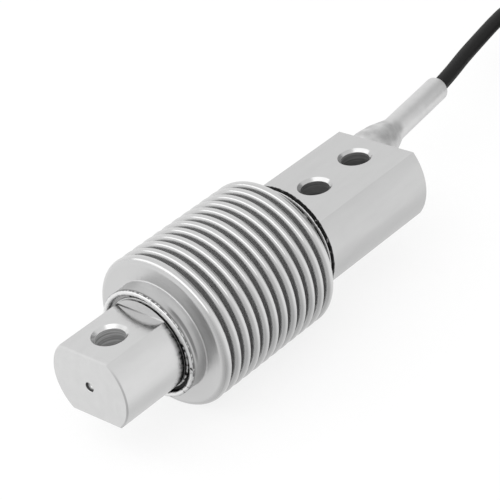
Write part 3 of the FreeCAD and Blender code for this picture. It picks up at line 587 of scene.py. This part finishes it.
# The finish of drilled metal reaches just past the bores' walls and stops inside the centre drilling's rim.
HOLE_REACH, CENTRE_REACH = 4.15, 1.4
FLAT_END_X = -79.7
HALF_FLATS = 10.0
FLAT_SLACK, WALL_SLACK = 0.02, 0.05
machined_steel, tree, shader = new_finish("machined_stainless_steel", "CBCBCB", 1.0, 0.2)
rings, level, parts, out = round_the_beam(tree)
height = add(tree, "ShaderNodeMath", links={0: parts["Z"]}, operation="ABSOLUTE")
flat_from = {1: (HALF_FLATS - FLAT_SLACK) * MM}
on_flat = add(tree, "ShaderNodeMath", flat_from, {0: height}, operation="GREATER_THAN")
wall_place = {1: FLAT_END_X * MM, 2: WALL_SLACK * MM}
on_wall = add(tree, "ShaderNodeMath", wall_place, {0: parts["X"]}, operation="COMPARE")
gaps = []
for x in HOLES_X:
    away = add(tree, "ShaderNodeVectorMath", {1: (x * MM, 0, 0)}, {0: level}, operation="SUBTRACT")
    plan = add(tree, "ShaderNodeVectorMath", {1: (1, 1, 0)}, {0: away}, operation="MULTIPLY")
    gaps.append(add(tree, "ShaderNodeVectorMath", links={0: plan}, operation="LENGTH").outputs["Value"])
nearest = gaps[0]
for gap in gaps[1:]:
    nearest = add(tree, "ShaderNodeMath", links={0: nearest, 1: gap}, operation="MINIMUM")
bore = add(tree, "ShaderNodeMath", {1: HOLE_REACH * MM}, {0: nearest}, operation="LESS_THAN")
face_middle = {1: (LOAD_FACE_X * MM, 0, 0)}
gap = add(tree, "ShaderNodeVectorMath", face_middle, {0: level}, operation="DISTANCE").outputs["Value"]
centre = add(tree, "ShaderNodeMath", {1: CENTRE_REACH * MM}, {0: gap}, operation="LESS_THAN")
drilled = add(tree, "ShaderNodeMath", links={0: bore, 1: centre}, operation="MAXIMUM")
print("body faces told apart, holes at", HOLES_X)

# %% [markdown]
# One noise draws all the tool marks. Its coordinates are squeezed along the tool's path: rings on turned
# faces, lines along the flats and stacked rings down the holes. True marks are a tenth of a millimetre
# apart and would blur away at this size, so they are drawn about four times coarser.

# %% Tool marks
# Millimetres from mark to mark, which is 26 to the centimetre.
TOOL_MARK = 10 / 26
ALONG_FLATS, DOWN_HOLES = (0.03, 1, 1), (0.02, 0.02, 0.9)
marks = rings
for here, squeeze in ((on_flat, ALONG_FLATS), (bore, DOWN_HOLES)):
    tool_path = add(tree, "ShaderNodeVectorMath", {1: squeeze}, {0: level}, operation="MULTIPLY")
    choice = {"Factor": here, "A": marks, "B": tool_path}
    marks = add(tree, "ShaderNodeMix", links=choice, data_type="VECTOR").outputs["Result"]
fine = {"Scale": per_metre(TOOL_MARK), "Detail": 3.0}
tooled = add(tree, "ShaderNodeTexNoise", fine, {"Vector": marks})
print("tool marks", round(TOOL_MARK, 2), "mm apart")

# %% [markdown]
# A bar that has been handled is never one grey: faint clouds about a centimetre long run along it. Towards
# the fixed end the bar is painted darker, as the shade it reflects there, its round sides more than its
# flats.
# The wall at the flat's end is painted a lighter grey for the light it catches, with a fillet line at its
# foot that is painted shade on the left and a painted highlight on the right.

# %% Greys of the bar
# Clouds about 3 mm wide and four times as long. The bar's painted shade grows mostly under the bellows.
CLOUD = 10 / 3.5
CLOUD_STRETCH = (0.25, 1, 1)
# Where the fixed end's painted shade begins and is full along the bar, and how much of it the flats are
# spared.
REAR_SHADE_FROM, REAR_SHADE_FULL = -60, -20
FLATS_LESS_SHADED = 0.07
# The fillet line at the wall's foot: its width in mm, and where across the bar it is full painted shade and
# full painted highlight.
FILLET = 0.3
FILLET_SHADE_Y, FILLET_HIGHLIGHT_Y = 8, -6
stretched = add(tree, "ShaderNodeVectorMath", {1: CLOUD_STRETCH}, {0: level}, operation="MULTIPLY")
soft = {"Scale": per_metre(CLOUD), "Detail": 4.0}
clouds = add(tree, "ShaderNodeTexNoise", soft, {"Vector": stretched})
faint = {"From Min": 0.3, "From Max": 0.7, "To Min": 0.98, "To Max": 1.02}
uneven = add(tree, "ShaderNodeMapRange", faint, {"Value": clouds})
# Painted shade: the bar's grey darkens towards the fixed end, on its round sides more than on its flats.
rear_shade_span = {"From Min": REAR_SHADE_FROM * MM, "From Max": REAR_SHADE_FULL * MM}
rear = add(tree, "ShaderNodeMapRange", rear_shade_span, {"Value": parts["X"]})
bar = add(tree, "ShaderNodeValToRGB", links={"Fac": rear})
stops(bar, (0.0, "CDCDCD"), (1.0, "C0C0C0"))
shade_spared_flat = add(tree, "ShaderNodeMath", links={0: on_flat, 1: rear}, operation="MULTIPLY")
lighter = {0: shade_spared_flat, 2: uneven}
uneven = add(tree, "ShaderNodeMath", {1: FLATS_LESS_SHADED}, lighter, operation="MULTIPLY_ADD")
bar = add(tree, "ShaderNodeVectorMath", links={0: bar, "Scale": uneven}, operation="SCALE")
foot = add(tree, "ShaderNodeMath", {1: (HALF_FLATS + FILLET) * MM}, {0: height}, operation="LESS_THAN")
fillet_span = {"From Min": FILLET_SHADE_Y * MM, "From Max": FILLET_HIGHLIGHT_Y * MM}
sweep = add(tree, "ShaderNodeMapRange", fillet_span, {"Value": parts["Y"]})
fillet_shade_and_highlight = add(tree, "ShaderNodeValToRGB", links={"Fac": sweep})
stops(fillet_shade_and_highlight, (0.0, "5A5A5A"), (1.0, "F0F0F0"))
# Painted light on the wall: a lighter grey than the bar, with the fillet's painted shade and highlight at
# its foot.
wall_lit_grey = {"A": linear("DADADA")}
wall = add(tree, "ShaderNodeMix", wall_lit_grey, {"Factor": foot, "B": fillet_shade_and_highlight}, data_type="RGBA")
choice = {"Factor": on_wall, "A": bar, "B": wall.outputs["Result"]}
plain = add(tree, "ShaderNodeMix", links=choice, data_type="RGBA").outputs["Result"]
print("clouds of", round(CLOUD, 1), "mm on the bar")

# %% [markdown]
# Drilled metal keeps the drill's rings and a little dust, and the two holes of the fixed end are painted
# darker with the shade that falls in them. The centre drilling is a small cup: its floor carries a painted
# highlight and its rim painted shade. Both are painted on by place, because the solids already have the
# holes and only the torn surface is missing.

# %% Drilled holes
REAR_HOLES_PAINTED_SHADE = 0.45
DUSTY_METAL = 0.7
torn = add(tree, "ShaderNodeValToRGB", links={"Fac": tooled})
stops(torn, (0.35, "AEAEAE"), (0.65, "E2E2E2"))
# Painted shade in the two holes of the fixed end.
dark = add(tree, "ShaderNodeMapRange", {"To Min": 1.0, "To Max": REAR_HOLES_PAINTED_SHADE}, {"Value": rear})
torn = add(tree, "ShaderNodeVectorMath", links={0: torn, "Scale": dark}, operation="SCALE")
# Painted highlight on the cup's floor and painted shade at its rim.
across = add(tree, "ShaderNodeMapRange", {"From Max": CENTRE_REACH * MM}, {"Value": out})
cup_highlight_and_shade = add(tree, "ShaderNodeValToRGB", links={"Fac": across})
stops(cup_highlight_and_shade, (0.55, "FFFFFF"), (0.80, "4A4A4A"))
holes = add(tree, "ShaderNodeMix", links={"Factor": centre, "A": torn, "B": cup_highlight_and_shade}, data_type="RGBA")
choice = {"Factor": drilled, "A": plain, "B": holes.outputs["Result"]}
colour = add(tree, "ShaderNodeMix", links=choice, data_type="RGBA").outputs["Result"]
tree.links.new(colour, shader.inputs["Base Color"])
dust = add(tree, "ShaderNodeMapRange", {"To Min": 1.0, "To Max": DUSTY_METAL}, {"Value": bore})
tree.links.new(dust.outputs[0], shader.inputs["Metallic"])
print("holes done")

# %% [markdown]
# The shine comes last. Rings blur the round faces, the flats are a little smoother and mirror what is near,
# and drilled faces and the wall are rough. The tool marks steer the blur as well, so a highlight frays along
# the tool's path, as it does on real steel.

# %% Shine of the measuring body
RING_BLUR = {"To Min": 0.16, "To Max": 0.30}
FLATS_SMOOTHER, CUT_ROUGHER = -0.04, 0.35
MARK_RELIEF = {"Strength": 0.10, "Distance": 0.02 * MM}
blur = add(tree, "ShaderNodeMapRange", RING_BLUR, {"Value": tooled})
polish = add(tree, "ShaderNodeMath", {1: FLATS_SMOOTHER}, {0: on_flat, 2: blur}, operation="MULTIPLY_ADD")
coarse = add(tree, "ShaderNodeMath", links={0: drilled, 1: on_wall}, operation="MAXIMUM")
rough = add(tree, "ShaderNodeMath", {1: CUT_ROUGHER}, {0: coarse, 2: polish}, operation="MULTIPLY_ADD")
tree.links.new(rough.outputs[0], shader.inputs["Roughness"])
bump = add(tree, "ShaderNodeBump", MARK_RELIEF, {"Height": tooled})
tree.links.new(bump.outputs[0], shader.inputs["Normal"])
# Pale grey, softly mirroring steel with rings, lines and clouds in it.
wear(cad["measuring_body"], machined_steel)
print("measuring body wears", machined_steel.name)

# %% [markdown]
# The bellows' sheet was polished before it was pressed, so the crests shine. Deep in the folds no wheel
# reaches it again, so the metal there is dull, and its grey is painted darker the deeper it lies as shade.
# How far out a point lies tells how deep it is, so the radius alone drives both.

# %% Folds of the bellows
# The brush reaches half a millimetre past the disc's face.
BRUSHED_TO = LOAD_FACE_X + FRONT_DISC + 0.5
BRIGHT_R, DULL_R, FOLD_SHADE_R = 22.1, 19.4, 19.6
DULL_METAL = 0.25
bellows_steel, tree, shader = new_finish("polished_bellows_steel", "C8C8C8", 1.0, 0.2)
rings, level, parts, out = round_the_beam(tree)
folded = add(tree, "ShaderNodeMath", {1: BRUSHED_TO * MM}, {0: parts["X"]}, operation="GREATER_THAN")
brushed = add(tree, "ShaderNodeMath", {0: 1.0}, {1: folded}, operation="SUBTRACT")
inward = {"From Min": BRIGHT_R * MM, "From Max": DULL_R * MM}
deep = add(tree, "ShaderNodeMapRange", inward, {"Value": out})
dull = add(tree, "ShaderNodeMath", links={0: deep, 1: folded}, operation="MULTIPLY")
metal = add(tree, "ShaderNodeMapRange", {"To Min": 1.0, "To Max": DULL_METAL}, {"Value": dull})
tree.links.new(metal.outputs[0], shader.inputs["Metallic"])
# Painted shade: the folds' grey darkens from the crests down into the grooves.
fold_shade_span = {"From Min": FOLD_SHADE_R * MM, "From Max": CREST_R * MM}
reach = add(tree, "ShaderNodeMapRange", fold_shade_span, {"Value": out})
folds = add(tree, "ShaderNodeValToRGB", links={"Fac": reach})
stops(folds, (0.0, "ABABAB"), (0.55, "BABABA"), (0.85, "C4C4C4"), (1.0, "CCCCCC"))
print("folds dulled below", BRIGHT_R, "mm from the axis")

# %% [markdown]
# After welding, the front disc and cuff are cleaned by hand with a brush. That leaves fine rings and a dark
# heat line along the cuff's edge. On the right of the cuff and disc lies a painted dark reflection, a soft
# grey patch broken into streaks that follow the brush round it.

# %% Brushed end of the bellows
# Streaks of about 1.4 mm, seven to the centimetre, and drawn out along the rings.
STREAK = 10 / 7
STREAK_STRETCH = (1, 1, 10)
# The painted dark reflection on the right: its side, where it begins and is full across, and the radii where
# it ends and is full.
SIDE_SHADE_DIRECTION = (0, -0.87, 0.49)
SIDE_SHADE_FROM, SIDE_SHADE_FULL = 9, 15.5
SIDE_SHADE_ENDS_R, SIDE_SHADE_R = 17.3, 16.0
CUFF_EDGE = LOAD_FACE_X + CUFF_START
HEAT_FROM, HEAT_TO, HEAT_GREY = 0.5, 1.0, 0.35
aside = add(tree, "ShaderNodeVectorMath", {1: SIDE_SHADE_DIRECTION}, {0: level}, operation="DOT_PRODUCT")
aside = {"Value": aside.outputs["Value"]}
sideways = {"From Min": SIDE_SHADE_FROM * MM, "From Max": SIDE_SHADE_FULL * MM}
right = add(tree, "ShaderNodeMapRange", sideways, aside, interpolation_type="SMOOTHSTEP")
inward = {"From Min": SIDE_SHADE_ENDS_R * MM, "From Max": SIDE_SHADE_R * MM}
low = add(tree, "ShaderNodeMapRange", inward, {"Value": out})
side_shade = add(tree, "ShaderNodeMath", links={0: right, 1: low}, operation="MULTIPLY")
brush_path = add(tree, "ShaderNodeVectorMath", {1: STREAK_STRETCH}, {0: rings}, operation="MULTIPLY")
streaky = {"Scale": per_metre(STREAK), "Detail": 4.0}
streaks = add(tree, "ShaderNodeTexNoise", streaky, {"Vector": brush_path})
streaks = add(tree, "ShaderNodeMapRange", {"From Min": 0.38, "From Max": 0.62}, {"Value": streaks})
side_shade = add(tree, "ShaderNodeMath", links={0: side_shade, 1: streaks}, operation="MULTIPLY")
# Painted shade: the brushed grey turns dark grey where the patch on the right is full.
ends = add(tree, "ShaderNodeValToRGB", links={"Fac": side_shade})
stops(ends, (0.0, "C5C5C5"), (0.6, "BCBCBC"), (1.0, "848484"))
heated = {"From Min": (CUFF_EDGE + HEAT_FROM) * MM, "From Max": (CUFF_EDGE + HEAT_TO) * MM}
heat = add(tree, "ShaderNodeMapRange", {**heated, "To Min": HEAT_GREY}, {"Value": parts["X"]})
ends = add(tree, "ShaderNodeVectorMath", links={0: ends, "Scale": heat}, operation="SCALE")
skin = add(tree, "ShaderNodeMix", links={"Factor": folded, "A": ends, "B": folds}, data_type="RGBA")
tree.links.new(skin.outputs["Result"], shader.inputs["Base Color"])
print("front end brushed, heat line at", round(CUFF_EDGE, 1), "mm")

# %% [markdown]
# The sheet's own drawing lines run round it. They are faint on the crests and plain on the brushed end, and
# soft clouds in the polish keep the long highlights from looking drawn with a ruler. The lines are as coarse
# as the body's tool marks, and for the same reason.

# %% Shine of the bellows
# Clouds of about 6 mm in the polish.
POLISH_CLOUD = 6.25
SHEET_BLUR = {"From Max": 0.5, "To Min": 0.12, "To Max": 0.24}
FOLDS_ROUGHER, BRUSH_ROUGHER = 0.3, 0.14
LINE_RELIEF = 0.03
fine = {"Scale": per_metre(TOOL_MARK), "Detail": 2.0}
drawn = add(tree, "ShaderNodeTexNoise", fine, {"Vector": rings})
soft = {"Scale": per_metre(POLISH_CLOUD), "Detail": 4.0}
clouds = add(tree, "ShaderNodeTexNoise", soft, {"Vector": level})
mixed = add(tree, "ShaderNodeMath", links={0: drawn, 1: clouds}, operation="MULTIPLY")
blur = add(tree, "ShaderNodeMapRange", SHEET_BLUR, {"Value": mixed})
rough = add(tree, "ShaderNodeMath", {1: FOLDS_ROUGHER}, {0: dull, 2: blur}, operation="MULTIPLY_ADD")
rough = add(tree, "ShaderNodeMath", {1: BRUSH_ROUGHER}, {0: brushed, 2: rough}, operation="MULTIPLY_ADD")
tree.links.new(rough.outputs[0], shader.inputs["Roughness"])
lines = add(tree, "ShaderNodeMapRange", {"To Min": 0.06, "To Max": 0.5}, {"Value": brushed})
relief = {"Height": drawn, "Strength": lines}
bump = add(tree, "ShaderNodeBump", {"Distance": LINE_RELIEF * MM}, relief)
tree.links.new(bump.outputs[0], shader.inputs["Normal"])
# Polished sheet that carries one crisp white line along each crest and goes dark in the folds, partly by
# painted shade.
wear(bellows, bellows_steel)
print("bellows wear", bellows_steel.name)

# %% [markdown]
# The cable sleeve is satin, as if tumbled with fine grit, so it spreads its highlight along the tube. Its
# foot, near the weld, is a shade darker than the tube and unevenly stained by the heat. A tumbled skin has
# no direction, so plain noise in space is enough here.

# %% Satin sleeve
# True grit leaves dents of a twentieth of a millimetre. They are drawn ten times coarser, to show at all.
GRIT = 10 / 18
# Heat stains of about 4 mm.
STAIN = 10 / 2.6
TAPER_X, TUBE_X = 36, 42
satin_steel, tree, shader = new_finish("tumbled_satin_steel", "C2C2C2", 1.0, 0.5)
spot = add(tree, "ShaderNodeTexCoord").outputs["Object"]
parts = add(tree, "ShaderNodeSeparateXYZ", links={0: spot}).outputs
grit = add(tree, "ShaderNodeTexNoise", {"Scale": per_metre(GRIT), "Detail": 3.0}, {"Vector": spot})
along_taper = {"From Min": TAPER_X * MM, "From Max": TUBE_X * MM}
tube = add(tree, "ShaderNodeMapRange", along_taper, {"Value": parts["X"]})
tone = add(tree, "ShaderNodeValToRGB", links={"Fac": tube})
stops(tone, (0.0, "CACACA"), (1.0, "D6D6D6"))
stain = add(tree, "ShaderNodeTexNoise", {"Scale": per_metre(STAIN), "Detail": 4.0}, {"Vector": spot})
spread = add(tree, "ShaderNodeMapRange", {"To Min": 0.9, "To Max": 0.2}, {"Value": tube})
stain = add(tree, "ShaderNodeMath", {1: -0.5}, {0: stain}, operation="ADD")
stain = add(tree, "ShaderNodeMath", {2: 1.0}, {0: stain, 1: spread}, operation="MULTIPLY_ADD")
tone = add(tree, "ShaderNodeVectorMath", links={0: tone, "Scale": stain}, operation="SCALE")
tree.links.new(tone.outputs[0], shader.inputs["Base Color"])
blur = add(tree, "ShaderNodeMapRange", {"To Min": 0.42, "To Max": 0.58}, {"Value": grit})
tree.links.new(blur.outputs[0], shader.inputs["Roughness"])
bump = add(tree, "ShaderNodeBump", {"Strength": 0.12, "Distance": 0.03 * MM}, {"Height": grit})
tree.links.new(bump.outputs[0], shader.inputs["Normal"])
# Evenly dulled steel: a soft bright line, no mirror.
wear(sleeve, satin_steel)
print("sleeve wears", satin_steel.name)

# %% [markdown]
# Weld heat leaves black scale in the seams and a scatter of bright, still clean metal. A noise decides which
# spots are burnt. On top of that, painted shade darkens the low right and the side of a bead that faces the
# axis, and the upper left is painted clean and bright where the light falls.

# %% Weld metal
# Flecks of about 1.4 mm, the length of a weld's scales.
FLECK = 10 / 7
# To the left and up, which is painted lighter as the lit side, as a rate for each metre from the axis.
LIT_SIDE = (0, 34, 10)
EDGE_WIDTH = 0.4
BURN_FADE = 0.06


def weld_finish(name, clean, burnt, share, lean=0.0, inside=0.0):
    """Weld metal burnt over some share of it, with painted shade leaning to one side and to a radius in mm.
    """
    material, tree, shader = new_finish(name, clean, 1.0, 0.35)
    _, level, _, out = round_the_beam(tree)
    patch = add(tree, "ShaderNodeTexNoise", {"Scale": per_metre(FLECK), "Detail": 4.0}, {"Vector": level})
    # Painted light and shade: more clean metal towards the lit upper left, more black towards the low right
    # and the axis.
    rate = {1: [v * lean for v in LIT_SIDE]}
    side = add(tree, "ShaderNodeVectorMath", rate, {0: level}, operation="DOT_PRODUCT").outputs["Value"]
    bead = {"From Min": (inside - EDGE_WIDTH) * MM, "From Max": (inside + EDGE_WIDTH) * MM}
    edge = add(tree, "ShaderNodeMapRange", {**bead, "To Min": -lean / 2, "To Max": lean / 2}, {"Value": out})
    fate = add(tree, "ShaderNodeMath", links={0: patch, 1: side}, operation="ADD")
    fate = add(tree, "ShaderNodeMath", links={0: fate, 1: edge}, operation="ADD")
    ramp = add(tree, "ShaderNodeValToRGB", links={"Fac": fate})
    stops(ramp, (share - BURN_FADE, burnt), (share + BURN_FADE, clean))
    tree.links.new(ramp.outputs["Color"], shader.inputs["Base Color"])
    blur = add(tree, "ShaderNodeMapRange", {"To Min": 0.6, "To Max": 0.2}, {"Value": patch})
    tree.links.new(blur.outputs[0], shader.inputs["Roughness"])
    bump = add(tree, "ShaderNodeBump", {"Strength": 0.5, "Distance": 0.1 * MM}, {"Height": patch})
    tree.links.new(bump.outputs[0], shader.inputs["Normal"])
    return material


# A bright bead with burnt flecks outside, and a thin one against the body, burnt with painted shade on its
# low right.
wear(beads["front_edge_weld"], weld_finish("clean_weld_metal", "E0E0E0", "1C1C1C", 0.36, 0.18, 14.8))
wear(beads["front_root_weld"], weld_finish("burnt_weld_metal_shaded_low_right", "CFCFCF", "151515", 0.55, 0.9))
# Black scale with a few clean glints on both seams at the back.
burnt_weld = weld_finish("burnt_weld_scale", "8A8A8A", "1C1C1C", 0.64)
for node in ("rear_edge_weld", "rear_shoulder_weld"):
    wear(beads[node], burnt_weld)
# The front ring lies between two seams: it is burnt dark and painted near black as the shade in that recess,
# most of all low on the right. The rear flange stays clean.
wear(cad["front_end_ring"], weld_finish("burnt_and_shaded_ring_steel", "9A9A9A", "121212", 0.86, 0.5))
wear(cad["rear_end_ring"], weld_finish("clean_ring_steel", "CFCFCF", "7A7A7A", 0.30))
print("welds and rings done")

# %% [markdown]
# The jacket is matt black plastic with the faint unevenness of an extruded skin. The rubber in the sleeve's
# mouth is duller still. One function makes all such skins, because a moulded, an extruded and a cast skin
# differ only in colour, shine and the size of their unevenness.

# %% Cable jacket and rubber
BLUR_SPREAD = 0.08


def moulded(name, colour, roughness, grain, depth, gloss=0.5):
    """A moulded, extruded or cast skin, uneven by a depth over grains of a size, both in mm."""
    material, tree, shader = new_finish(name, colour, 0.0, roughness)
    shader.inputs["Specular IOR Level"].default_value = gloss
    spot = add(tree, "ShaderNodeTexCoord").outputs["Object"]
    # True skins are uneven over a tenth of a millimetre or two. Each is drawn coarser, so that it shows.
    skin = add(tree, "ShaderNodeTexNoise", {"Scale": per_metre(grain), "Detail": 3.0}, {"Vector": spot})
    shine = {"To Min": roughness - BLUR_SPREAD, "To Max": roughness + BLUR_SPREAD}
    blur = add(tree, "ShaderNodeMapRange", shine, {"Value": skin})
    tree.links.new(blur.outputs[0], shader.inputs["Roughness"])
    bump = add(tree, "ShaderNodeBump", {"Strength": 0.3, "Distance": depth * MM}, {"Height": skin})
    tree.links.new(bump.outputs[0], shader.inputs["Normal"])
    return material


# Near-black, softly shining: the sky shows as a broad grey band along the top of the cable.
wear(cable, moulded("black_cable_jacket", "202020", 0.55, 10 / 9, 0.05, gloss=0.12))
# Dull black that swallows the light in the sleeve's mouth.
black_rubber = moulded("black_rubber", "1E1E1E", 0.7, 10 / 15, 0.05)
for node in ("gland_grommet", "cable_lead_in"):
    wear(cad[node], black_rubber)
# Milky white nylon with a soft shine, and black sleeving with a clearer one.
wear(cad["cable_tie"], moulded("white_tie_nylon", "E6E4DC", 0.4, 10 / 6, 0.05))
wear(cad["cable_end_sleeve"], moulded("black_shrink_sleeve", "2A2A2A", 0.35, 2.0, 0.1))
print("jacket, rubber, tie and end sleeve done")

# %% [markdown]
# A cable core is copper strands in coloured plastic. At the far end the plastic is stripped back and the
# bare tip is tinned. Plastic and tin could be two materials on one core, but one that changes at the
# stripped edge keeps each core a single piece.

# %% Cable cores
TIP_FROM_END = 5.0
# A strand is a tenth of a millimetre thick and is drawn coarser, so that it shows.
STRAND = 0.25
CORES = {"red": "B3261E", "black": "222222", "green": "2E7D46", "white": "E9E7E1"}
TIN = "C9C7C2"


def tinned(name, colour, node):
    """Coloured insulation that gives way to bright tinned strands near the far end of a core."""
    tip_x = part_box(node)[0].x + TIP_FROM_END * MM
    material, tree, shader = new_finish(name, colour, 0.0, 0.4)
    spot = add(tree, "ShaderNodeTexCoord").outputs["Object"]
    along = add(tree, "ShaderNodeSeparateXYZ", links={0: spot}).outputs["X"]
    bare = add(tree, "ShaderNodeMath", {1: tip_x}, {0: along}, operation="LESS_THAN")
    strands = add(tree, "ShaderNodeTexNoise", {"Scale": per_metre(STRAND), "Detail": 2.0}, {"Vector": spot})
    blur = add(tree, "ShaderNodeMapRange", {"To Min": 0.28, "To Max": 0.5}, {"Value": strands})
    colours = {"A": linear(colour), "B": linear(TIN)}
    skin = add(tree, "ShaderNodeMix", colours, {"Factor": bare}, data_type="RGBA")
    tree.links.new(skin.outputs["Result"], shader.inputs["Base Color"])
    tree.links.new(bare.outputs[0], shader.inputs["Metallic"])
    tree.links.new(blur.outputs[0], shader.inputs["Roughness"])
    return material


# Plain bright plastic colours with a soft shine, and tips of pale, glinting tin.
for tone, colour in CORES.items():
    wear(cad["tail_" + tone], tinned(tone + "_core_insulation", colour, "tail_" + tone))
    wear(cad["inner_core_" + tone], moulded(tone + "_core_insulation_inside", colour, 0.4, 0.5, 0.03))
wear(cad["tail_shield"], tinned("shield_sleeve_plastic", "C9B458", "tail_shield"))
print("cores", list(CORES))

# %% [markdown]
# Inside the bellows sit the gauges, their wiring and a potting plug. They can't be seen on a whole cell, but
# a cutaway shows them, so each has its own finish. Their solids are kept as they come, and the same moulded
# skin serves them all.

# %% Inner parts
GAUGES = ["gauge_top_front", "gauge_top_rear", "gauge_bottom_front", "gauge_bottom_rear"]
STRIPS = ["gauge_strip_top", "gauge_strip_bottom"]
# Coppery foil under a clear film, amber film, green board, dull ceramic chips and milky resin.
INNER_FINISHES = [
    (GAUGES, "gauge_foil_film", "B08A4E", 0.3, 10 / 15, 0.02),
    (STRIPS, "amber_polyimide_strip", "B8741A", 0.35, 10 / 12, 0.02),
    (["terminal_board"], "green_circuit_board", "2F6B45", 0.45, 10 / 15, 0.03),
    (["trim_resistors"], "black_chip_ceramic", "2B2B2E", 0.5, 0.4, 0.02),
    (["bore_potting"], "milky_potting_resin", "D8D2C0", 0.35, 2.0, 0.1),
]
for pieces, name, colour, roughness, grain, depth in INNER_FINISHES:
    finish = moulded(name, colour, roughness, grain, depth)
    for piece in pieces:
        wear(cad[piece], finish)
print("inner parts done", len(INNER_FINISHES), "finishes")
